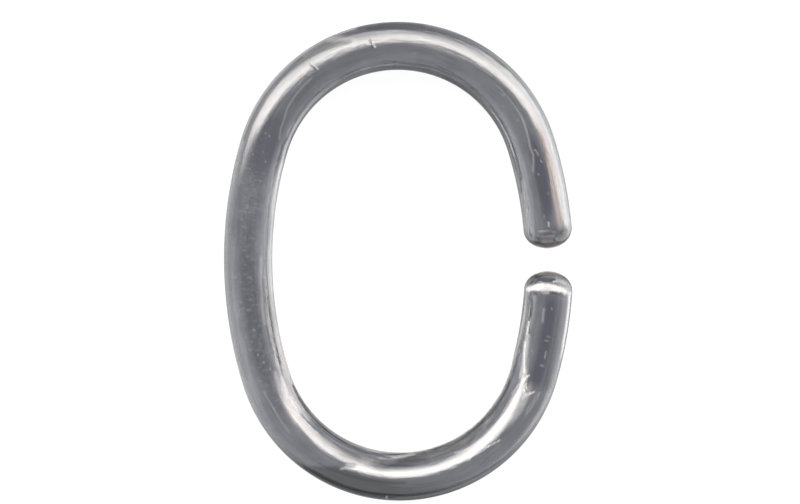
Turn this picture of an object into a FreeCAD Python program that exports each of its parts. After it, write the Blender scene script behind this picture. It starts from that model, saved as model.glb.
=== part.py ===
"""Open oval curtain hook, moulded in one piece from clear plastic. All sizes are in millimetres.

The hook is a round rod bent flat into an oval with a mouth in one long side. It lies on its side, as it
would on a table: the oval is in the XY plane, its long axis along Y, the mouth towards +X, and the rod
rests on Z = 0. The origin is the middle of the oval, on the surface that the hook lies on.
"""
import FreeCAD
import Part
import math
import os

# Driving sizes of the oval, measured over the outside of the rod
overall_length = 59.5
overall_width = 43.4
rod_diameter = 6.0

# The two long sides bow outwards on this radius, measured to the middle of the rod
side_bow_radius = 50.0

# The mouth is the clear distance between the tips of the two rounded ends
mouth_gap = 2.8
end_dome_height = 2.4

rod_radius = rod_diameter / 2
half_length = overall_length / 2 - rod_radius
half_width = overall_width / 2 - rod_radius

up = FreeCAD.Vector(0, 0, 1)


def on_rod_level(x, y):
    """A point in the plane that holds the middle line of the rod."""
    return FreeCAD.Vector(x, y, rod_radius)


# Radius of the two end arcs. It makes each one run smoothly into the side arcs, which it touches on the
# line through both centres: (side - width)^2 + (length - end)^2 = (side - end)^2.
end_arc_radius = (2 * half_width * side_bow_radius - half_width**2 - half_length**2) / (
    2 * (side_bow_radius - half_length)
)
side_centre_offset = side_bow_radius - half_width
end_centre_offset = half_length - end_arc_radius

# Angle, seen from a side arc's centre, between the X axis and the place where the side meets an end arc
side_half_angle = math.degrees(math.atan2(end_centre_offset, side_centre_offset))
end_sweep = 180 - 2 * side_half_angle

# Angle on the mouth side at which the rod stops and its rounded end starts, so that the two tips are
# mouth_gap apart: side_bow_radius * sin(a) - end_dome_height * cos(a) = mouth_gap / 2
mouth_half_angle = math.degrees(
    math.atan2(end_dome_height, side_bow_radius)
    + math.asin(mouth_gap / 2 / math.hypot(side_bow_radius, end_dome_height))
)

mouth_side_centre = on_rod_level(-side_centre_offset, 0)
plain_side_centre = on_rod_level(side_centre_offset, 0)
top_arc_centre = on_rod_level(0, end_centre_offset)
bottom_arc_centre = on_rod_level(0, -end_centre_offset)


def direction(angle):
    """Unit vector in the plane of the oval, at an angle in degrees from +X towards +Y."""
    return FreeCAD.Vector(math.cos(math.radians(angle)), math.sin(math.radians(angle)), 0)


def bent_rod(centre, bend_radius, start_angle, sweep):
    """A length of round rod on an arc: the rod's section, turned about the arc's centre."""
    section_centre = centre + direction(start_angle) * bend_radius
    along_rod = direction(start_angle + 90)
    section = Part.Face(Part.Wire(Part.makeCircle(rod_radius, section_centre, along_rod)))
    return section.revolve(centre, up, sweep)


def rounded_end(base, outwards):
    """The flattened dome that closes a free end: a quarter ellipse turned about the rod's middle line."""
    tip = base + outwards * end_dome_height
    rim = base + outwards.cross(up) * rod_radius
    # A quadratic curve is exactly a quarter ellipse when its corner weighs cos(45 degrees)
    quarter_ellipse = Part.BezierCurve()
    quarter_ellipse.setPoles([rim, rim + outwards * end_dome_height, tip])
    quarter_ellipse.setWeight(2, math.cos(math.radians(45)))
    outline = Part.Wire([quarter_ellipse.toShape(), Part.makeLine(tip, base), Part.makeLine(base, rim)])
    return Part.Face(outline).revolve(base, outwards, 360)


def mouth_end(side):
    """The rounded end above the mouth for side +1, or the one below it for side -1."""
    angle = side * mouth_half_angle
    base = mouth_side_centre + direction(angle) * side_bow_radius
    return rounded_end(base, direction(angle - side * 90))


def make_hook():
    """The whole hook, one solid, put together from its five arcs of rod and its two rounded ends."""
    mouth_run = side_half_angle - mouth_half_angle
    pieces = [
        bent_rod(mouth_side_centre, side_bow_radius, mouth_half_angle, mouth_run),
        bent_rod(top_arc_centre, end_arc_radius, side_half_angle, end_sweep),
        bent_rod(plain_side_centre, side_bow_radius, 180 - side_half_angle, 2 * side_half_angle),
        bent_rod(bottom_arc_centre, end_arc_radius, 180 + side_half_angle, end_sweep),
        bent_rod(mouth_side_centre, side_bow_radius, -side_half_angle, mouth_run),
        mouth_end(+1),
        mouth_end(-1),
    ]
    hook = pieces[0].fuse(pieces[1:])
    return hook.Solids[0]


os.makedirs("parts", exist_ok=True)
hook = make_hook()
hook.exportStep("parts/curtain_hook.step")

print("solid valid", hook.isValid(), "closed", hook.isClosed())
print("volume mm3", round(hook.Volume, 2))
print("end arc radius", round(end_arc_radius, 3), "side half angle", round(side_half_angle, 3))
box = hook.BoundBox
print("box", [round(v, 3) for v in (box.XMin, box.YMin, box.ZMin, box.XMax, box.YMax, box.ZMax)])
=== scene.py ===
"""Open oval curtain hook, moulded in one piece from clear, faintly grey plastic, lying on a pale floor.

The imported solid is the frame: the hook lies in the XY plane with its long axis along Y and its mouth
towards +X, and rests on Z = 0. Lengths are in metres, apart from the places on the rod's skin, which are
in millimetres or rod radii where a comment says so.
"""
import math

import bpy
import numpy as np
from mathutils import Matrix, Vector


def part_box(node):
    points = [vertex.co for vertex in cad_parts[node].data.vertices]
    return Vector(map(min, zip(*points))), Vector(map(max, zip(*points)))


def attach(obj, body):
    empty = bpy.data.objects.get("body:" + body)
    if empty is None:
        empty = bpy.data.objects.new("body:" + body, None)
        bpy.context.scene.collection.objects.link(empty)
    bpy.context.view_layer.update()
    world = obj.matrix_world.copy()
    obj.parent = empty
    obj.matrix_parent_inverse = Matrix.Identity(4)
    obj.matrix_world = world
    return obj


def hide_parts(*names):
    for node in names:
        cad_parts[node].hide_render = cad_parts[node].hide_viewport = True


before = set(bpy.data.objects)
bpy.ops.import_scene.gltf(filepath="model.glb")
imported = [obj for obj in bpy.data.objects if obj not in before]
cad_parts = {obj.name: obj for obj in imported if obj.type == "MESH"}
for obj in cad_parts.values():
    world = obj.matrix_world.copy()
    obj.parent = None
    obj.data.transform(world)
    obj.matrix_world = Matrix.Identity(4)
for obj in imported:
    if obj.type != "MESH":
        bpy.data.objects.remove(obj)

cad_low, cad_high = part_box("curtain_hook")
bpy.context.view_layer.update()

# The rod of the hook. One shot of clear plastic fills a two-part mould, so the piece is a single skin: a
# round rod bent flat into an oval, cut by the mouth and closed by a flattened dome at each end. The mould
# parts at half the rod's height.
rod_radius = cad_high.z / 2
half_length = cad_high.y - rod_radius
half_width = -cad_low.x - rod_radius
side_bow_radius = 0.050
mouth_gap = 0.0028
dome_height = 0.0024
# The end arcs run into the side arcs without a kink, so their centres are side_bow_radius - end_arc_radius
# apart
end_arc_radius = (2 * half_width * side_bow_radius - half_width**2 - half_length**2) / (
    2 * (side_bow_radius - half_length)
)
side_centre_x = side_bow_radius - half_width
end_centre_y = half_length - end_arc_radius
side_half_angle = math.atan2(end_centre_y, side_centre_x)
# The rod ends where the tip of its dome is half of mouth_gap from the X axis
mouth_half_angle = math.atan2(dome_height, side_bow_radius) + math.asin(
    mouth_gap / 2 / math.hypot(side_bow_radius, dome_height)
)

# One row for each arc of the middle line, from the upper end round to the lower end:
# centre x, centre y, radius, angle where it starts, angle that it turns through
mouth_run = side_half_angle - mouth_half_angle
end_turn = math.pi - 2 * side_half_angle
arcs = np.array([
    (-side_centre_x, 0, side_bow_radius, mouth_half_angle, mouth_run),
    (0, end_centre_y, end_arc_radius, side_half_angle, end_turn),
    (side_centre_x, 0, side_bow_radius, math.pi - side_half_angle, 2 * side_half_angle),
    (0, -end_centre_y, end_arc_radius, math.pi + side_half_angle, end_turn),
    (-side_centre_x, 0, side_bow_radius, -side_half_angle, mouth_run),
])
arc_starts = np.concatenate([[0], np.cumsum(arcs[:, 2] * arcs[:, 4])])
rod_length = arc_starts[-1]


def middle_line(along):
    """Point, outward direction and forward direction of the rod's middle line.

    along is the distance from the upper end. Each arc is centre + radius * (cos a, sin a), where a grows
    from the arc's first angle by distance / radius, so outward is (cos a, sin a) and forward (-sin a, cos a).
    Beyond the two ends the line runs on straight.
    """
    on_rod = np.clip(along, 0, rod_length)
    arc = np.clip(np.searchsorted(arc_starts, on_rod, side="right") - 1, 0, len(arcs) - 1)
    centre_x, centre_y, radius, first_angle, _ = arcs[arc].T
    angle = first_angle + (on_rod - arc_starts[arc]) / radius
    outward = np.stack([np.cos(angle), np.sin(angle)], axis=-1)
    forward = np.stack([-np.sin(angle), np.cos(angle)], axis=-1)
    point = np.stack([centre_x, centre_y], axis=-1) + radius[:, None] * outward
    return point + (along - on_rod)[:, None] * forward, outward, forward


rings_along = 970
rings_in_dome = 18
points_on_top = 64
points_underneath = 32

# The rings stand closer together where fine marks cross the rod, at the scratches before the lower end and
# at the two notches of the upper arc: start, end, and how much closer
dense_stretches = [(0.1135, 0.129, 0.9), (0.035, 0.0445, 0.5)]
rod_places = np.linspace(0, rod_length, 4001)
crowding = np.ones(len(rod_places))
for start, end, closer in dense_stretches:
    crowding = crowding + closer * ((rod_places > start) & (rod_places < end))
crowd_sum = np.cumsum(crowding) - crowding[0]
rod_rings = np.interp(np.linspace(0, crowd_sum[-1], rings_along), crowd_sum, rod_places)

# Where each ring sits and how far the skin is from the middle line there. In a dome at distance t past the
# rod's end the radius is rod_radius * sqrt(1 - (t / dome_height)^2): with t = dome_height * sin(q) that is
# rod_radius * cos(q), and even steps of q space the rings well. The two poles are single points.
quarter = np.linspace(0, math.pi / 2, rings_in_dome + 1)[1:-1]
ring_along = np.concatenate([
    -dome_height * np.sin(quarter[::-1]),
    rod_rings,
    rod_length + dome_height * np.sin(quarter),
])
ring_radius = rod_radius * np.concatenate([np.cos(quarter[::-1]), np.ones(rings_along), np.cos(quarter)])
turn = math.pi * np.concatenate([
    np.linspace(0, 1, points_on_top, endpoint=False),
    np.linspace(1, 2, points_underneath, endpoint=False),
])


def smooth_step(value, low, high):
    """0 on low's side, 1 on high's side, and 3 t^2 - 2 t^3 between them; low may be the higher of the two."""
    t = np.clip((value - low) / (high - low), 0, 1)
    return t * t * (3 - 2 * t)


# The two flows of melt meet at a weld line in the lower end arc, which runs slantwise over the rod: it is
# farther along on the inner side, and wider there by weld_spread. From the plain side on, the section of the
# rod leans outwards, more so past the weld, and the lean fades out again towards the lower end. lean_at gives
# its strength in rows of distance along the rod and lean there.
weld_along = 0.0994
weld_slant = 0.0050
weld_width = 0.0014
weld_spread = 3
lean_at = np.array([(0.0835, 0.0), (0.0905, 0.50), (0.100, 0.52)])
lean_past_weld = 1.05
lean_fades_from = 0.127
lean_ends = 0.142
# What a lean of 1 takes off the inner side of the crest and adds to the outer side, in rod radii, and how
# much it lowers the crest, so that it stays inside the rod's height
shaved_fine = 0.033
shaved_wide = 0.166
filled_most = 0.2
crest_drop = 0.02
shoulder_length = 0.0010
shoulder_drop = 0.045


def lean(along, turn):
    """How far the section leans, from 0 for a plain circle to about 1.

    Before the weld it runs through the rows of lean_at. The weld's place is weld_along - weld_slant *
    cos(turn), its width is weld_width * (1 - weld_spread * cos(turn)) on the inner side, and past it the
    lean is lean_past_weld, which fades to 0 between lean_fades_from and lean_ends.
    """
    before = np.interp(along, lean_at[:, 0], lean_at[:, 1])
    weld = weld_along - weld_slant * np.cos(turn)
    width = weld_width * (1 + weld_spread * np.maximum(-np.cos(turn), 0))
    past = smooth_step(along, weld - width / 2, weld + width / 2)
    kept = 1 - smooth_step(along, lean_fades_from, lean_ends)
    return (before + (lean_past_weld - before) * past) * kept


def rod_skin():
    """Grid of points on the rod's skin, rings by points around.

    A point is the middle line + r * cos(turn) outward + r * sin(turn) up, where r is the ring's radius times
    1 + lean * swell. With q = turn - 90 degrees, swell is shaved_fine * sin(4 q) - shaved_wide * sin(2 q) on
    the inner side of the crest, filled_most * cos(turn) * sin(turn)^2 on the outer side, and 0 on the lower
    half. The crest is lowered by crest_drop * lean, and within shoulder_length of the two ends both faces
    slope down by shoulder_drop * e^2, where e is 0 at the shoulder's start and 1 at the dome's.
    """
    point, outward, _ = middle_line(ring_along)
    past_crest = turn - math.pi / 2
    upper = np.maximum(np.sin(turn), 0)
    shaved = shaved_fine * np.sin(4 * past_crest) - shaved_wide * np.sin(2 * past_crest)
    filled = filled_most * np.cos(turn) * upper**2
    swell = np.where(past_crest < 0, filled, np.where(past_crest < math.pi / 2, shaved, 0.0))
    leaning = lean(ring_along[:, None], turn[None, :])
    from_end = np.minimum(ring_along, rod_length - ring_along)
    shoulder = np.maximum(1 - from_end / shoulder_length, 0)
    radius = ring_radius[:, None] * (1 + leaning * swell)
    out = radius * np.cos(turn)
    rise = radius * np.sin(turn) * (1 - crest_drop * leaning * upper)
    rise = rise * (1 - shoulder_drop * shoulder**2)[:, None]
    flat = point[:, None, :] + out[..., None] * outward[:, None, :]
    return np.concatenate([flat, rod_radius + rise[..., None]], axis=-1)


def closed_tube(name, grid, poles):
    """Mesh of a tube from its grid of rings, with a point at each pole, and its own UV map.

    The four corners of a face are (ring, turn), (ring + 1, turn), (ring + 1, turn + 1), (ring, turn + 1),
    and a fan joins each pole to the ring beside it. U is the distance along the rod and V the distance
    around it, both in rod circumferences, so that a pattern keeps its proportions.
    """
    rings, around = grid.shape[:2]
    i, j = np.meshgrid(np.arange(rings - 1), np.arange(around), indexing="ij")
    k = (j + 1) % around
    quads = np.stack([i * around + j, (i + 1) * around + j, (i + 1) * around + k, i * around + k], -1)
    edge = np.arange(around)
    after = (edge + 1) % around
    first_pole = rings * around
    last_pole = first_pole + 1
    last_ring = (rings - 1) * around
    first_fan = np.stack([np.full(around, first_pole), edge, after], -1)
    last_fan = np.stack([np.full(around, last_pole), last_ring + after, last_ring + edge], -1)
    points = np.concatenate([grid.reshape(-1, 3), poles])
    faces = quads.reshape(-1, 4).tolist() + first_fan.tolist() + last_fan.tolist()
    mesh = bpy.data.meshes.new(name)
    mesh.from_pydata(points, [], faces)
    mesh.polygons.foreach_set("use_smooth", np.ones(len(faces), bool))

    circumference = 2 * math.pi * rod_radius
    u = ring_along / circumference
    v = np.append(turn, 2 * math.pi) / (2 * math.pi)
    quad_uv = np.stack([
        np.stack([u[i], v[j]], -1), np.stack([u[i + 1], v[j]], -1),
        np.stack([u[i + 1], v[j + 1]], -1), np.stack([u[i], v[j + 1]], -1),
    ], axis=2)
    middle = (v[edge] + v[edge + 1]) / 2
    pole_u = np.full(around, -dome_height / circumference)
    ring_u = np.full(around, u[0])
    first_uv = np.stack([
        np.stack([pole_u, middle], -1), np.stack([ring_u, v[edge]], -1), np.stack([ring_u, v[edge + 1]], -1),
    ], axis=1)
    pole_u = np.full(around, (rod_length + dome_height) / circumference)
    ring_u = np.full(around, u[-1])
    last_uv = np.stack([
        np.stack([pole_u, middle], -1), np.stack([ring_u, v[edge + 1]], -1), np.stack([ring_u, v[edge]], -1),
    ], axis=1)
    uv = mesh.uv_layers.new(name="along_rod")
    uv.data.foreach_set("uv", np.concatenate([quad_uv.ravel(), first_uv.ravel(), last_uv.ravel()]))
    mesh.validate()
    mesh.update()
    return mesh


skin_grid = rod_skin()
end_points, _, _ = middle_line(np.array([-dome_height, rod_length + dome_height]))
pole_points = np.concatenate([end_points, np.full((2, 1), rod_radius)], axis=-1)
hook_mesh = closed_tube("hook", skin_grid, pole_points)
hook = bpy.data.objects.new("hook", hook_mesh)
bpy.context.scene.collection.objects.link(hook)

# Where each point of the skin lies as seen from above: mm along the rod from the upper end, and across it
# from -1 at the inner rim to 1 at the outer rim
ring_middle, ring_outward, _ = middle_line(ring_along)
along = np.repeat(1000 * ring_along[:, None], len(turn), axis=1)
across = ((skin_grid[..., :2] - ring_middle[:, None, :]) * ring_outward[:, None, :]).sum(axis=-1) / rod_radius
top_side = np.repeat(smooth_step(np.sin(turn), -0.1, 0.15)[None, :], len(ring_along), axis=0)


def patch(at_along, reach_along, at_across, reach_across):
    """1 in the middle of an oval patch and 0 outside it.

    With r^2 = (mm along / its reach)^2 + (radii across / its reach)^2, it is 1 where r^2 is under 0.1 and 0
    where it is over 1.
    """
    far = ((along - at_along) / reach_along) ** 2 + ((across - at_across) / reach_across) ** 2
    return smooth_step(far, 1.0, 0.1)


def shaded(before, amount, share):
    """The light let through, turned by amount towards the share of red, green and blue."""
    amount = amount[..., None]
    return before * (1 - amount) + np.array(share) * amount


# How much light the plastic lets through, by place, as painted light and shade: soft zones lighten or darken
# what is seen through the rod, in place of the lit and shaded surroundings that it bends, and warm it beside
# the highlights. Each is mm along and reach, radii across and reach, strength, and the share that is left of
# red, green and blue. Each row is laid over the rows before it.
base_share = (0.70, 0.70, 0.70)
bluish = (0.07, 0.09, 0.22)
neutral = (0.07, 0.08, 0.09)
dome_grey = (0.22, 0.23, 0.25)
clear = (1, 1, 1)
warm = (1.0, 0.62, 0.46)
painted_light_zones = [
    # The upper end
    (2.0, 4.0, 0.48, 0.40, 0.8, clear),
    (6.0, 11.0, 0.52, 0.24, 1.0, warm),
    (10.0, 13.0, -0.68, 0.32, 0.8, clear),
    (-1.2, 2.0, 0.30, 0.95, 0.85, dome_grey),
    (6.2, 7.5, 0.04, 0.36, 0.95, bluish),
    (28.0, 11.0, -0.84, 0.26, 0.45, neutral),
    # The upper arc
    (41.0, 8.0, 0.16, 0.22, 0.8, clear),
    (38.0, 12.0, -0.20, 0.32, 0.25, neutral),
    # The plain side
    (50.0, 9.0, -0.85, 0.22, 0.5, clear),
    (60.0, 6.0, -0.80, 0.60, 0.9, clear),
    (84.0, 18.0, 0.62, 0.45, 0.45, clear),
    (75.0, 16.0, -0.44, 0.22, 0.9, clear),
    (84.0, 8.0, -0.78, 0.30, 0.5, warm),
    (76.5, 9.0, -0.66, 0.20, 0.80, neutral),
    (89.5, 7.0, -0.25, 0.3, 0.7, warm),
    (87.0, 10.0, -0.85, 0.40, 1.0, clear),
    (94.0, 10.0, -0.10, 0.35, 0.6, clear),
    (50.0, 9.0, -0.32, 0.36, 0.3, neutral),
    (88.5, 7.0, -0.20, 0.22, 0.8, clear),
    (75.0, 38.0, 1.02, 0.18, 0.7, neutral),
    (55.0, 6.0, -0.05, 0.80, 0.6, bluish),
    (76.0, 15.0, -0.05, 0.42, 0.5, bluish),
    # The lower arc
    (114.0, 16.0, -0.25, 0.26, 0.8, clear),
    (129.0, 6.0, -0.58, 0.28, 0.9, clear),
    (102.0, 5.5, 0.83, 0.14, 0.9, neutral),
    (112.0, 9.0, -0.72, 0.26, 0.7, neutral),
    (117.0, 15.0, -0.84, 0.14, 0.7, neutral),
    (97.0, 10.0, -0.80, 0.30, 0.5, clear),
    (99.5, 3.0, -0.35, 0.25, 0.6, neutral),
    # The lower end
    (135.5, 4.0, -0.85, 0.25, 0.4, neutral),
    (126.5, 8.0, 0.98, 0.12, 0.6, neutral),
    (141.0, 1.0, 0.60, 0.40, 0.7, neutral),
    # The rims
    (118.0, 26.0, -1.02, 0.14, 1.0, clear),
    (135.0, 6.0, 0.96, 0.10, 0.7, clear),
    (70.0, 85.0, 1.02, 0.06, 0.65, neutral),
    (8.0, 26.0, -1.02, 0.07, 0.7, neutral),
    (38.0, 18.0, 1.0, 0.13, 0.7, clear),
]
light_through_and_painted = np.ones(along.shape + (3,)) * base_share
for at_along, reach_along, at_across, reach_across, strength, share in painted_light_zones:
    light_through_and_painted = shaded(light_through_and_painted, strength * patch(at_along, reach_along, at_across, reach_across), share)

# Painted shade: the rod is darker behind the weld's slanting front on the outer side and in a wedge on the
# inner side, and the lower end is darker and bluish from a sharp edge on, in its middle and near its outer
# rim.
weld_outer_painted_shade = smooth_step(along + 5.0 * across, 98.6, 99.8) * smooth_step(along - 9.0 * across, 110.0, 100.0)
weld_outer_painted_shade = weld_outer_painted_shade * smooth_step(across, 0.02, 0.2)
weld_inner_painted_shade = smooth_step(along + 8.2 * across, 100.6, 101.6) * smooth_step(along, 113.0, 103.0)
weld_inner_painted_shade = weld_inner_painted_shade * smooth_step(across, -0.15, -0.35)
end_middle = smooth_step(np.abs(across - 0.14), 0.42, 0.10)
end_outer = 0.85 * smooth_step(across, 0.35, 0.62)
end_painted_shade = smooth_step(along, 127.0, 128.2) * smooth_step(along, 140.0, 137.6)
end_painted_shade = end_painted_shade * np.maximum(end_middle, end_outer) * smooth_step(across, 0.99, 0.90)
light_through_and_painted = shaded(light_through_and_painted, 0.90 * weld_outer_painted_shade, neutral)
light_through_and_painted = shaded(light_through_and_painted, 0.80 * weld_inner_painted_shade, neutral)
light_through_and_painted = shaded(light_through_and_painted, 0.93 * end_painted_shade, bluish)
# The light is held back where it enters, on the top side alone, by the square root of the base colour
light_through_and_painted = light_through_and_painted**2
light_through_and_painted = 1 + (light_through_and_painted - 1) * top_side[..., None]

# Where fine dark lines of painted shade run along the rod, near its rims and beside its highlights: mm along
# and reach, radii across and reach, strength
shade_line_zones = [
    (8.0, 9.0, 0.45, 0.3, 0.6), (15.0, 19.0, -0.88, 0.20, 1.0), (18.0, 14.0, 0.14, 0.12, 1.0),
    (31.0, 8.0, -0.68, 0.2, 0.8), (40.0, 9.0, 0.15, 0.22, 1.0), (75.0, 12.0, -0.65, 0.25, 0.2),
    (95.0, 9.0, -0.88, 0.16, 1.0), (105.0, 9.0, 0.62, 0.5, 1.0), (115.0, 10.0, -0.72, 0.26, 1.0),
]
flow_shade_lines = np.zeros(along.shape)
for at_along, reach_along, at_across, reach_across, strength in shade_line_zones:
    flow_shade_lines = np.maximum(flow_shade_lines, strength * patch(at_along, reach_along, at_across, reach_across))

# Scratches, wandering lines and other marks that look white, and painted highlights and reflections drawn as
# soft white runs: each row is a run of places in mm along and mm across, a width in mm and how white it is
white_marks_and_highlights = [
    # The upper end
    ([(6.5, -2.15), (2.0, -2.25), (0.0, -2.10), (-1.2, -1.55)], 0.38, 0.07),
    ([(-0.18, -1.10), (-0.36, 0.80)], 0.14, 0.11),
    ([(0.8, 0.14), (0.35, 0.13)], 0.17, 0.15),
    ([(7.4, -0.72), (8.5, -0.36), (9.5, -0.17), (10.5, -0.26), (12.0, -0.07), (14.0, 0.17)], 0.17, 0.08),
    ([(14.0, 0.17), (16.0, 0.21), (20.0, 0.17), (22.0, 0.11)], 0.14, 0.06),
    ([(9.2, 0.40), (9.7, 0.36), (10.0, 0.17)], 0.14, 0.09),
    ([(10.0, -2.48), (17.0, -2.48)], 0.20, 0.15),
    # The upper arc, with the light side of its two notches and a painted diagonal highlight
    ([(35.6, 0.0), (35.9, 0.55)], 0.14, 0.24),
    ([(43.25, 0.10), (43.4, 0.45)], 0.14, 0.22),
    ([(38.0, 1.40), (39.0, 1.95), (40.4, 2.75)], 0.75, 0.07),
    ([(44.5, -0.30), (47.0, -0.40), (49.5, -0.65), (51.0, -1.08), (52.3, -1.22), (53.6, -1.58)], 0.16, 0.055),
    # The plain side, with painted light along its inner rim and where its highlight begins
    ([(68.0, -2.52), (83.0, -2.54)], 0.24, 0.06),
    ([(69.0, -1.65), (74.0, -1.60), (77.5, -1.45)], 0.35, 0.05),
    ([(84.0, -1.35), (88.0, -0.85), (91.0, -0.70)], 0.45, 0.08),
    ([(85.8, 0.74), (87.9, 0.60), (91.5, 0.70)], 0.13, 0.06),
    # The weld, with painted highlight that fills the gap between the highlights before and past it
    ([(99.1, 0.50), (99.9, -0.10)], 0.26, 0.10),
    ([(99.6, 0.1), (101.0, -0.1)], 0.34, 0.15),
    ([(100.2, -0.38), (101.3, -0.42)], 0.38, 0.14),
    ([(99.5, -0.34), (100.6, -0.50)], 0.26, 0.16),
    # The lower arc, with painted highlights along its crest and rims, and a crack and scratches
    ([(101.5, -0.2), (118.0, -0.75)], 0.70, 0.10),
    ([(116.0, -0.55), (125.5, -1.15)], 0.70, 0.18),
    ([(103.5, -2.28), (106.0, -2.45), (108.5, -2.75)], 0.40, 0.10),
    ([(104.9, 2.37), (105.0, 2.81)], 0.14, 0.26),
    ([(106.0, 2.58), (118.0, 2.62)], 0.20, 0.08),
    ([(114.0, -1.44), (115.0, -1.22), (117.0, -1.08), (118.0, -1.22)], 0.16, 0.13),
    ([(115.2, 0.11), (115.8, -0.14)], 0.13, 0.22),
    ([(117.7, -0.03), (119.7, 0.50)], 0.12, 0.17),
    ([(118.0, 0.10), (119.0, 0.25)], 0.11, 0.16),
    # The scratches before the lower end
    ([(124.0, 1.08), (127.0, 1.44)], 0.14, 0.06),
    ([(124.4, 0.85), (127.0, 1.20)], 0.14, 0.05),
    ([(124.6, -0.15), (125.1, 0.12)], 0.10, 0.20),
    ([(125.4, -0.10), (125.4, 0.10)], 0.12, 0.20),
    ([(125.5, -0.32), (126.9, 0.72)], 0.11, 0.27),
    ([(125.5, -1.73), (126.2, -1.50), (127.0, -1.44)], 0.14, 0.16),
    ([(125.7, -0.42), (126.3, -0.10)], 0.10, 0.30),
    ([(125.9, -0.26), (126.7, 0.36)], 0.11, 0.22),
    ([(126.0, -0.50), (126.9, -0.32)], 0.11, 0.28),
    ([(126.4, -0.65), (127.2, -0.36)], 0.11, 0.30),
    ([(126.9, -0.75), (127.5, -0.55)], 0.10, 0.25),
    ([(127.2, -1.12), (128.6, -0.58)], 0.12, 0.30),
    ([(127.6, -1.04), (128.5, -0.79)], 0.11, 0.28),
    # The lower end and its dome, with painted highlights on its inner side and outer rim, the painted bright
    # crescent at its end, and light dashes
    ([(123.0, -0.85), (129.0, -1.25)], 0.55, 0.12),
    ([(128.0, -1.45), (133.5, -1.85)], 0.45, 0.17),
    ([(128.8, -1.27), (131.0, -1.80), (132.6, -1.98)], 0.26, 0.32),
    ([(130.2, 0.86), (130.2, 0.50)], 0.13, 0.10),
    ([(131.1, 0.75), (131.9, 0.78)], 0.13, 0.07),
    ([(131.5, 2.85), (133.5, 2.68), (139.2, 2.66)], 0.26, 0.22),
    ([(133.3, 0.72), (133.3, 0.36)], 0.13, 0.08),
    ([(133.6, -1.98), (135.2, -2.00)], 0.24, 0.28),
    ([(133.8, 0.86), (133.8, 0.50)], 0.13, 0.08),
    ([(134.5, -1.90), (138.8, -1.70)], 0.50, 0.05),
    ([(136.0, -2.15), (137.4, -2.12)], 0.16, 0.14),
    ([(137.1, -0.38), (135.5, -0.34)], 0.22, 0.07),
    ([(139.2, 2.66), (139.8, 1.30), (140.05, 0.0), (139.85, -1.30)], 0.45, 0.18),
    ([(139.95, -0.80), (139.85, -1.30), (139.4, -2.50)], 0.50, 0.36),
    ([(141.2, 0.9), (141.4, 0.2)], 0.4, 0.06),
]
specks = [
    (1.6, -0.26), (3.3, -0.65), (4.3, 0.62), (6.9, -0.17), (8.4, 0.57), (14.2, -0.43), (16.7, -1.03),
    (17.9, -0.14), (30.6, -0.86), (32.3, -0.93), (53.5, 0.33), (53.7, -0.31), (55.8, -0.08), (56.4, 1.04),
    (56.9, -0.70), (59.4, 2.76), (63.1, -0.37), (63.5, 0.63), (64.4, 0.94), (71.7, -0.37), (74.5, 1.20),
    (78.1, 0.04), (79.5, 0.64), (81.2, 0.17), (82.3, -0.30), (83.3, -0.87), (85.5, -0.63), (86.6, -1.20),
    (117.6, -2.27), (131.7, -0.93), (137.2, 0.60),
]
speck_reach, speck_width, speck_white = 0.06, 0.12, 0.08
for at_along, at_across in specks:
    ends = [(at_along - speck_reach, at_across), (at_along + speck_reach, at_across)]
    white_marks_and_highlights.append((ends, speck_width, speck_white))

# Short faint rub marks lie across the plain side, a little slanted. Each draws its place in mm along and mm
# across, its reach to both sides and its whiteness, in this order.
rub_marks = 220
rub_slant = 0.08
rub_width = 0.13
chance = np.random.default_rng(11)
for _ in range(rub_marks):
    at_along = chance.uniform(58.0, 88.0)
    at_across = chance.normal(0.10, 0.85)
    reach = chance.uniform(0.06, 0.30)
    white = chance.uniform(0.008, 0.032)
    ends = [(at_along, at_across - reach), (at_along + rub_slant, at_across + reach)]
    white_marks_and_highlights.append((ends, rub_width, white))
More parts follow.
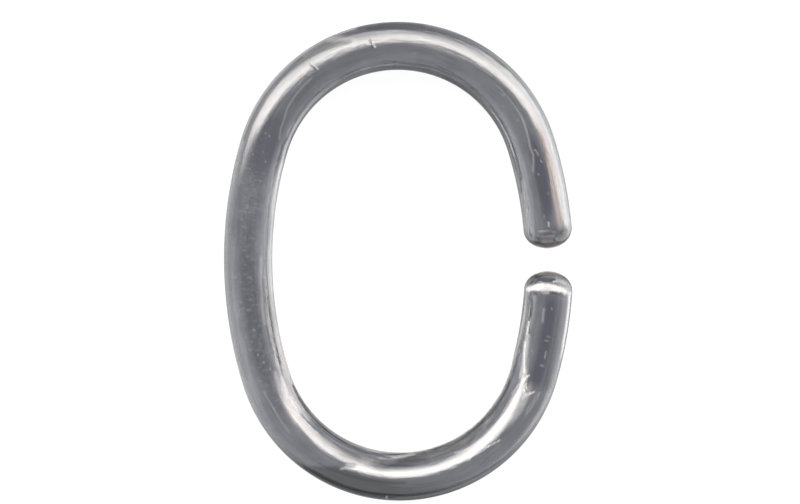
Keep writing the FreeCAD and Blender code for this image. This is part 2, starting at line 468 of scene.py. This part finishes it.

# Thin dark lines, in rows of the same kind, with how dark each is: the dark side of the two notches, and
# painted shade along the rims, beside the highlights, behind the weld and at the two domes
dark_marks_and_shade_lines = [
    # The upper end and its dome
    ([(-1.15, -1.80), (-1.25, -1.60)], 0.32, 0.50),
    ([(-0.9, 1.7), (-1.3, 1.2)], 0.60, 0.35),
    ([(-0.58, -0.70), (-0.64, 0.50)], 0.16, 0.14),
    ([(5.0, -2.66), (6.5, -2.47), (8.0, -2.30), (10.0, -2.25), (14.0, -2.26), (18.0, -2.27)], 0.13, 0.40),
    ([(6.0, 0.95), (10.0, 0.90), (14.0, 0.60), (19.0, 0.35), (24.0, 0.25)], 0.20, 0.10),
    ([(8.0, -2.66), (18.0, -2.72), (26.0, -2.80)], 0.14, 0.35),
    # The upper arc, with the dark side of its two notches
    ([(20.0, 2.45), (25.0, 2.15), (31.0, 2.10), (36.0, 2.35)], 0.40, 0.28),
    ([(20.5, -2.04), (23.0, -1.98), (25.0, -1.87), (27.3, -1.75)], 0.17, 0.30),
    ([(30.0, 2.60), (37.0, 2.65)], 0.30, 0.25),
    ([(35.95, 0.07), (36.1, 1.00)], 0.17, 0.65),
    ([(38.4, 1.35), (42.0, 1.85), (48.0, 2.35)], 0.34, 0.34),
    ([(43.5, 0.22), (43.7, 1.08)], 0.17, 0.60),
    ([(44.0, 2.45), (49.0, 2.52), (55.0, 2.60)], 0.30, 0.28),
    # The plain side
    ([(72.0, -2.02), (83.0, -2.05)], 0.30, 0.18),
    ([(86.5, -2.82), (88.5, -2.72)], 0.10, 0.16),
    ([(88.5, -2.72), (93.0, -2.66), (97.0, -2.59), (101.0, -2.44), (105.0, -2.33)], 0.13, 0.36),
    # The weld and the lower arc
    ([(95.5, 2.66), (96.5, 2.59), (100.0, 2.41), (103.0, 2.27), (105.0, 2.18), (107.0, 2.30)], 0.20, 0.50),
    ([(96.5, 1.18), (100.0, 0.93), (103.0, 0.75), (107.0, 0.72)], 0.26, 0.28),
    ([(98.0, -1.07), (102.5, -1.04)], 0.14, 0.25),
    ([(98.6, -1.10), (100.5, -1.25)], 0.40, 0.20),
    ([(100.5, -1.25), (103.0, -1.35)], 0.55, 0.35),
    ([(103.0, -0.95), (106.0, -1.35), (109.0, -1.20), (112.0, -1.15)], 0.26, 0.30),
    ([(103.5, -1.10), (106.5, -1.55), (110.0, -1.95)], 0.75, 0.25),
    ([(106.0, 2.90), (131.0, 2.90)], 0.12, 0.30),
    ([(107.0, 2.30), (112.0, 2.23), (118.0, 2.45)], 0.16, 0.22),
    ([(112.0, -2.30), (116.5, -2.55), (127.0, -2.50)], 0.15, 0.35),
    # The lower end and its dome
    ([(130.0, 2.93), (139.0, 2.93)], 0.10, 0.4),
    ([(131.5, -2.47), (138.5, -2.42)], 0.26, 0.32),
    ([(136.0, -1.88), (138.0, -1.90)], 0.12, 0.3),
    ([(138.80, 2.05), (139.12, 1.00)], 0.22, 0.20),
    ([(139.12, 1.0), (139.28, 0.0), (139.18, -1.0), (139.05, -1.6)], 0.30, 0.55),
    ([(140.5, 1.1), (140.05, 2.1)], 0.42, 0.42),
]
mm_per_radius = 3


def mark(start, end, width):
    """1 on a straight mark and 0 beyond width from it: the distance is measured to the mark's nearest point.

    Places are mm along and mm across. The nearest point is start + t (end - start), with t from 0 to 1.
    """
    way = np.subtract(end, start)
    from_start = np.stack([along, mm_per_radius * across], axis=-1) - start
    t = np.clip((from_start @ way) / (way @ way), 0, 1)
    off = np.linalg.norm(from_start - t[..., None] * way, axis=-1)
    return smooth_step(off, width, 0.0)


def strongest(rows):
    """At each point the highest value of all rows: strength * mark, for each straight part of a row's run."""
    most = np.zeros(along.shape)
    for places, width, strength in rows:
        for start, end in zip(places[:-1], places[1:]):
            most = np.maximum(most, strength * mark(start, end, width))
    return most


# Hazes of painted light, which whiten the skin softly at the tips, along the rims and in a few places over
# the crest: mm along and reach, radii across and reach, strength
painted_light_hazes = [
    (-2.3, 1.0, 0.0, 1.0, 0.11), (-1.3, 0.8, 0.05, 0.55, 0.09), (4.5, 6.5, 0.50, 0.20, 0.08),
    (26.0, 8.0, 0.12, 0.14, 0.03), (38.0, 16.0, 0.97, 0.08, 0.06), (60.0, 4.0, -0.84, 0.20, 0.06),
    (60.0, 5.0, -0.95, 0.25, 0.12), (82.5, 7.0, -0.97, 0.3, 0.18), (87.0, 6.0, -0.84, 0.22, 0.12),
    (88.5, 4.5, -0.70, 0.16, 0.13), (95.0, 14.0, -0.97, 0.08, 0.07), (109.0, 3.5, -0.97, 0.14, 0.05),
    (119.0, 8.0, -0.97, 0.14, 0.07), (124.5, 4.0, -0.02, 0.22, 0.07), (126.0, 6.0, -0.92, 0.12, 0.07),
    (142.0, 1.2, 0.0, 1.2, 0.06),
]
# The value is above 0 where wear and painted light whiten the skin and below 0 where dark marks and painted
# shade darken it, and a dark line wins
worn_and_painted_light = strongest(white_marks_and_highlights)
for at_along, reach_along, at_across, reach_across, strength in painted_light_hazes:
    worn_and_painted_light = np.maximum(worn_and_painted_light, strength * patch(at_along, reach_along, at_across, reach_across))
darkness = strongest(dark_marks_and_shade_lines)
worn_and_painted_light = np.where(darkness > 0, -darkness, worn_and_painted_light) * top_side

# The plastic has a mottled grain on the plain side and on the inner side of the lower arc
mottled = np.maximum(patch(76.0, 18.0, 0.0, 0.5), patch(60.0, 14.0, 0.15, 0.4))
mottled = np.maximum(mottled, patch(115.0, 12.0, -0.65, 0.36))


def lay_on_skin(name, kind, values):
    """Stores one value for each point of the skin: the grid's values, and for a pole its ring's mean."""
    both_poles = np.stack([values[0].mean(axis=0), values[-1].mean(axis=0)])
    whole = np.concatenate([values.reshape((-1,) + values.shape[2:]), both_poles])
    layer = hook_mesh.attributes.new(name, kind, "POINT")
    if kind == "FLOAT":
        layer.data.foreach_set("value", whole)
    else:
        layer.data.foreach_set("color", np.concatenate([whole, np.ones((len(whole), 1))], axis=1).ravel())


# Laid on the skin: the mottled grain, the light let through with its painted light and shade, the lines of
# painted shade, and the wear with its painted highlights and shade
lay_on_skin("mottled", "FLOAT", mottled * top_side)
lay_on_skin("light_through_and_painted", "FLOAT_COLOR", light_through_and_painted)
lay_on_skin("flow_shade_lines", "FLOAT", flow_shade_lines * top_side)
lay_on_skin("worn_and_painted_light", "FLOAT", worn_and_painted_light)


class Field:
    """A number, colour or vector that varies over a surface, held as a node's output socket.

    Sums written with + - * / and ** between fields and numbers add Math nodes to the same tree.
    """

    def __init__(self, tree, socket):
        self.tree = tree
        self.socket = socket

    def node(self, kind, settings=(), output=0, **inputs):
        """Any node: its settings are set first, then its sockets get numbers, colours or other fields.

        An input is named as its socket is, with _ for a space, or by i and the socket's number.
        """
        made = self.tree.nodes.new(kind)
        for name, value in dict(settings).items():
            setattr(made, name, value)
        for name, value in inputs.items():
            key = int(name[1:]) if name[0] == "i" and name[1:].isdigit() else name.replace("_", " ")
            if isinstance(value, Field):
                self.tree.links.new(value.socket, made.inputs[key])
            else:
                made.inputs[key].default_value = value
        return Field(self.tree, made.outputs[output])

    def math(self, operation, first, second=0.0):
        """A Math node with one or two values."""
        return self.node("ShaderNodeMath", {"operation": operation}, i0=first, i1=second)

    def __add__(self, other):
        return self.math("ADD", self, other)

    __radd__ = __add__

    def __sub__(self, other):
        return self.math("SUBTRACT", self, other)

    def __rsub__(self, other):
        return self.math("SUBTRACT", other, self)

    def __mul__(self, other):
        return self.math("MULTIPLY", self, other)

    __rmul__ = __mul__

    def __truediv__(self, other):
        return self.math("DIVIDE", self, other)

    def __pow__(self, other):
        return self.math("POWER", self, other)

    def size(self):
        """The value without its sign: the square root of its square."""
        return (self * self) ** 0.5

    def blend(self, factor, colour, mode="MIX"):
        """This colour turned towards another one by a factor. A colour Mix has them at sockets 6 and 7."""
        settings = {"data_type": "RGBA", "blend_type": mode}
        return self.node("ShaderNodeMix", settings, output=2, i0=factor, i6=self, i7=colour)

    def step(self, low, high):
        """0 on low's side, 1 on high's side, and smooth between them; low may be the higher of the two."""
        settings = {"interpolation_type": "SMOOTHSTEP"}
        if low < high:
            return self.node("ShaderNodeMapRange", settings, Value=self, From_Min=low, From_Max=high)
        return 1 - self.node("ShaderNodeMapRange", settings, Value=self, From_Min=high, From_Max=low)


plastic = bpy.data.materials.new("clear_plastic")
plastic.use_nodes = True
tree = plastic.node_tree
tree.nodes.clear()
rod_map = tree.nodes.new("ShaderNodeUVMap")
rod_map.uv_map = "along_rod"
split_map = tree.nodes.new("ShaderNodeSeparateXYZ")
tree.links.new(rod_map.outputs["UV"], split_map.inputs[0])
radii_along = Field(tree, split_map.outputs[0]) * (2 * math.pi)
turned = Field(tree, split_map.outputs[1]) * (2 * math.pi)
out_way = turned.math("COSINE", turned)
up_way = turned.math("SINE", turned)


def rod_noise(stretch, scale, detail):
    """Noise drawn out along the rod by stretch; scale is in features per rod radius."""
    point = turned.node("ShaderNodeCombineXYZ", X=radii_along / stretch, Y=out_way, Z=up_way)
    return turned.node("ShaderNodeTexNoise", Vector=point, Scale=scale, Detail=detail, Roughness=0.6)


# An Attribute node gives what it reads as a colour at output 0 and as a number at output 2
as_colour, as_number = 0, 2


def laid(name, output):
    """A value that was laid on the skin, read as a colour or as a number."""
    return turned.node("ShaderNodeAttribute", {"attribute_name": name}, output=output)


# The flow of the plastic shows as streaks along the rod, clouds and a cross grain, which dim what comes
# through. In the zones of painted shade lines, a dark line runs wherever the fine streaks cross their middle
# value.
streaks = rod_noise(9.0, 5.0, 5.0)
fine_streaks = rod_noise(14.0, 8.0, 2.0)
cloudy = rod_noise(2.0, 2.0, 4.0).step(0.35, 0.65)
cross_mottle = rod_noise(0.4, 4.0, 3.0)
from_middle = fine_streaks - 0.5
dark_shade_lines = from_middle.size().step(0.05, 0.0) * laid("flow_shade_lines", as_number)
through = laid("light_through_and_painted", as_colour)
dim_share = (0.40, 0.42, 0.46, 1)
dimmer = through.blend(1.0, dim_share, mode="MULTIPLY")
mottle = cross_mottle.step(0.45, 0.6) * laid("mottled", as_number) * 0.5
uneven = cloudy * 0.35 + streaks.step(0.42, 0.66) * 0.45 + mottle
line_colour = (0.01, 0.01, 0.012, 1)
tint = through.blend(uneven.math("MINIMUM", uneven, 1.0), dimmer)
tint = tint.blend(dark_shade_lines * 0.8, line_colour)
roughness = 0.02 + 0.05 * streaks
relief = streaks + 0.25 * fine_streaks + 0.12 * cross_mottle - 0.15 * dark_shade_lines
ripple = turned.node("ShaderNodeBump", Strength=1.0, Distance=0.00004, Height=relief)

clear_skin = tree.nodes.new("ShaderNodeBsdfPrincipled")
clear_skin.inputs["IOR"].default_value = 1.58
clear_skin.inputs["Transmission Weight"].default_value = 1.0
tree.links.new(tint.socket, clear_skin.inputs["Base Color"])
tree.links.new(roughness.socket, clear_skin.inputs["Roughness"])
tree.links.new(ripple.socket, clear_skin.inputs["Normal"])

# Wear and painted light are a matt skin over the clear one: whitish where the laid value is above 0, for wear
# marks and painted highlights, and nearly black where it is below, for dark marks and painted shade
white_wear_and_highlight = (0.58, 0.56, 0.55, 1)
dark_mark_and_shade = (0.006, 0.007, 0.008, 1)
wear_and_light_value = laid("worn_and_painted_light", as_number)
is_dark = wear_and_light_value.step(0.0, -0.02)
wear_and_light_colour = turned.node("ShaderNodeMix", {"data_type": "RGBA"}, output=2,
                          i0=is_dark, i6=white_wear_and_highlight, i7=dark_mark_and_shade)
worn_and_painted_skin = tree.nodes.new("ShaderNodeBsdfPrincipled")
worn_and_painted_skin.inputs["Roughness"].default_value = 0.5
worn_and_painted_skin.inputs["Specular IOR Level"].default_value = 0.0
tree.links.new(wear_and_light_colour.socket, worn_and_painted_skin.inputs["Base Color"])
both_skins = tree.nodes.new("ShaderNodeMixShader")
tree.links.new(wear_and_light_value.size().socket, both_skins.inputs[0])
tree.links.new(clear_skin.outputs[0], both_skins.inputs[1])
tree.links.new(worn_and_painted_skin.outputs[0], both_skins.inputs[2])

# The plastic itself is faintly grey, so light grows darker with its way through it
grey = tree.nodes.new("ShaderNodeVolumeAbsorption")
grey.inputs["Color"].default_value = (0.490, 0.50, 0.545, 1)
grey.inputs["Density"].default_value = 560.0
plastic_out = tree.nodes.new("ShaderNodeOutputMaterial")
tree.links.new(both_skins.outputs[0], plastic_out.inputs["Surface"])
tree.links.new(grey.outputs[0], plastic_out.inputs["Volume"])
hook_mesh.materials.append(plastic)

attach(hook, "root")
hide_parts("curtain_hook")

# The floor: one plain pale sheet, much larger than the view, that the hook lies on. It glows evenly, but in
# mirror-like reflections it has lighter and darker zones, in place of the paper and cards that stand round
# a small object in a studio.
floor_half = 3.0
# A hair below the hook, so that the two share no face
floor_level = -0.00002
floor_corners = [(x, y, floor_level) for x, y in ((-1, -1), (1, -1), (1, 1), (-1, 1))]
floor_mesh = bpy.data.meshes.new("floor")
floor_mesh.from_pydata([(x * floor_half, y * floor_half, z) for x, y, z in floor_corners], [], [(0, 1, 2, 3)])
floor = bpy.data.objects.new("floor", floor_mesh)
bpy.context.scene.collection.objects.link(floor)
pale = bpy.data.materials.new("pale_floor")
pale.use_nodes = True
pale_tree = pale.node_tree
pale_skin = pale_tree.nodes["Principled BSDF"]
pale_skin.inputs["Base Color"].default_value = (0.05, 0.05, 0.05, 1)
pale_skin.inputs["Emission Strength"].default_value = 1.0
pale_skin.inputs["Roughness"].default_value = 0.9
pale_skin.inputs["Specular IOR Level"].default_value = 0.0
by_mirror = Field(pale_tree, pale_tree.nodes.new("ShaderNodeLightPath").outputs["Is Reflection Ray"])
place = pale_tree.nodes.new("ShaderNodeTexCoord")
split_place = pale_tree.nodes.new("ShaderNodeSeparateXYZ")
pale_tree.links.new(place.outputs["Object"], split_place.inputs[0])
sheet_x = Field(pale_tree, split_place.outputs[0])
sheet_y = Field(pale_tree, split_place.outputs[1])
off_x = sheet_x.size()
off_y = sheet_y.size()


def distance_from(x, y):
    """Distance on the floor from a point."""
    return ((sheet_x - x) ** 2 + (sheet_y - y) ** 2) ** 0.5


# How far a place is from the oval on which the rod lies, as a share of the oval's size: below 0 inside it
oval_half_width = 0.0187
oval_half_length = 0.0267
oval = ((sheet_x / oval_half_width) ** 2 + (sheet_y / oval_half_length) ** 2) ** 0.5 - 1
clear_of_hook = oval.size().step(0.17, 0.40)
# The zones that lie clear of the hook
side_reach = off_x - off_y * (0.35 + 0.35 * sheet_y.step(0.0, -0.01))
both_sides = 1.8 * side_reach.step(-0.008, 0.014)
upper_right = sheet_x.step(0.024, 0.036) * sheet_y.step(-0.004, 0.006) * 6.0
right_of_hook = sheet_x.step(0.022, 0.026) * 1.5
inside_ring = sheet_x.step(0.012, 0.0) * sheet_x.step(-0.018, -0.015) * off_y.step(0.009, 0.003) * 2.3
upper_spot = distance_from(-0.0065, 0.0105).step(0.0065, 0.002) * 3.0
lower_spot = distance_from(0.008, -0.0085).step(0.0065, 0.002) * 3.0
free_zones = both_sides + upper_right + right_of_hook + inside_ring + upper_spot + lower_spot
# The zones close to the hook: in the mouth, and along the inner rim at the lower right, rim_depth inside the
# oval
rim_depth = 0.26
mouth_spot = distance_from(0.0185, 0).step(0.004, 0.001) * 1.6
lower_right = sheet_x.step(-0.006, 0.004) * sheet_y.step(-0.009, -0.015)
inner_rim = ((oval + rim_depth) ** 2.0).step(0.014, 0.0) * lower_right * 5.0
floor_glow = 0.92
floor_in_gloss = 0.35
mirrored = floor_in_gloss + free_zones * clear_of_hook + mouth_spot + inner_rim
glow = floor_glow + by_mirror * (mirrored - floor_glow)
pale_tree.links.new(glow.socket, pale_skin.inputs["Emission Color"])
floor_mesh.materials.append(pale)

# The studio light: a large soft window, a narrow streak and two side boxes in a dim room, all drawn on a
# dome round the hook, with no lamps.
world = bpy.data.worlds.new("studio")
bpy.context.scene.world = world
world.use_nodes = True
sky = world.node_tree
sky.nodes.clear()
sky_light = sky.nodes.new("ShaderNodeBackground")
sky_out = sky.nodes.new("ShaderNodeOutputWorld")
sky.links.new(sky_light.outputs[0], sky_out.inputs["Surface"])
direction = Field(sky, sky.nodes.new("ShaderNodeTexCoord").outputs["Generated"])
# A mirror-like face that sends the overhead view to direction d faces half way between d and up. The light
# is placed by the X and Y of that facing.
halfway = direction.node("ShaderNodeVectorMath", {"operation": "ADD"}, i0=direction, i1=(0, 0, 1))
facing = direction.node("ShaderNodeVectorMath", {"operation": "NORMALIZE"}, i0=halfway)
split_facing = sky.nodes.new("ShaderNodeSeparateXYZ")
sky.links.new(facing.socket, split_facing.inputs[0])
face_x = Field(sky, split_facing.outputs[0])
face_y = Field(sky, split_facing.outputs[1])
tilt = (face_x * face_x + face_y * face_y) ** 0.5
side = face_x.size()
raised = 0.055 * face_x.step(-0.03, 0.05) * face_x.step(0.36, 0.26)
lower_edge = 0.165 + raised - 0.13 * face_x.step(0.55, 0.66)
window = (face_y - lower_edge).step(-0.06, 0.06) * (face_y + 0.04 * face_x.step(0.05, -0.25)).step(0.72, 0.30)
window = window * face_x.step(-0.86, -0.42) * face_x.step(0.98, 0.38)
streak_off = face_y - 0.60 - 1.6 * face_x * face_x
streak = streak_off.size().step(0.09, 0.0) * face_x.step(-0.45, -0.28) * face_x.step(0.16, -0.02)
room = tilt.step(1.02, 0.84) * face_y.step(-0.90, -0.56) * (1 - face_y.step(0.5, 0.8) * side.step(0.6, 0.3))
left_box = face_x.step(-0.35, -0.60) * face_y.step(-0.42, -0.22) * face_y.step(0.10, -0.05)
right_box = face_x.step(0.40, 0.72) * face_y.step(-0.34, -0.08) * face_y.step(0.45, 0.12)
dark_glow, room_glow, streak_glow, left_glow, right_glow = 0.15, 1.75, 4.0, 1.4, 2.6
window_glow = (15.4, 14.8, 14.2, 1)
level = dark_glow + room_glow * room + streak_glow * streak + left_glow * left_box + right_glow * right_box
level = level.blend(window, window_glow)
sky.links.new(level.socket, sky_light.inputs["Color"])

# The camera: straight above the hook on a long lens, so that the view is nearly free of perspective, and
# turned a little, as the photograph's is.
sensor_mm = 36.0
lens_mm = 400.0
view_width = 0.09937
aim_x, aim_y = 0.000185, 0.001136
camera_turn = -0.01
camera = bpy.data.objects.new("camera", bpy.data.cameras.new("camera"))
bpy.context.scene.collection.objects.link(camera)
bpy.context.scene.camera = camera
camera.data.sensor_width = sensor_mm
camera.data.lens = lens_mm
camera_distance = view_width / 2 / (sensor_mm / 2 / lens_mm)
camera.location = (aim_x, aim_y, rod_radius + camera_distance)
camera.rotation_euler = (0, 0, camera_turn)
camera.data.clip_start = 0.01
camera.data.clip_end = 20.0
bpy.context.scene.view_settings.view_transform = "Standard"
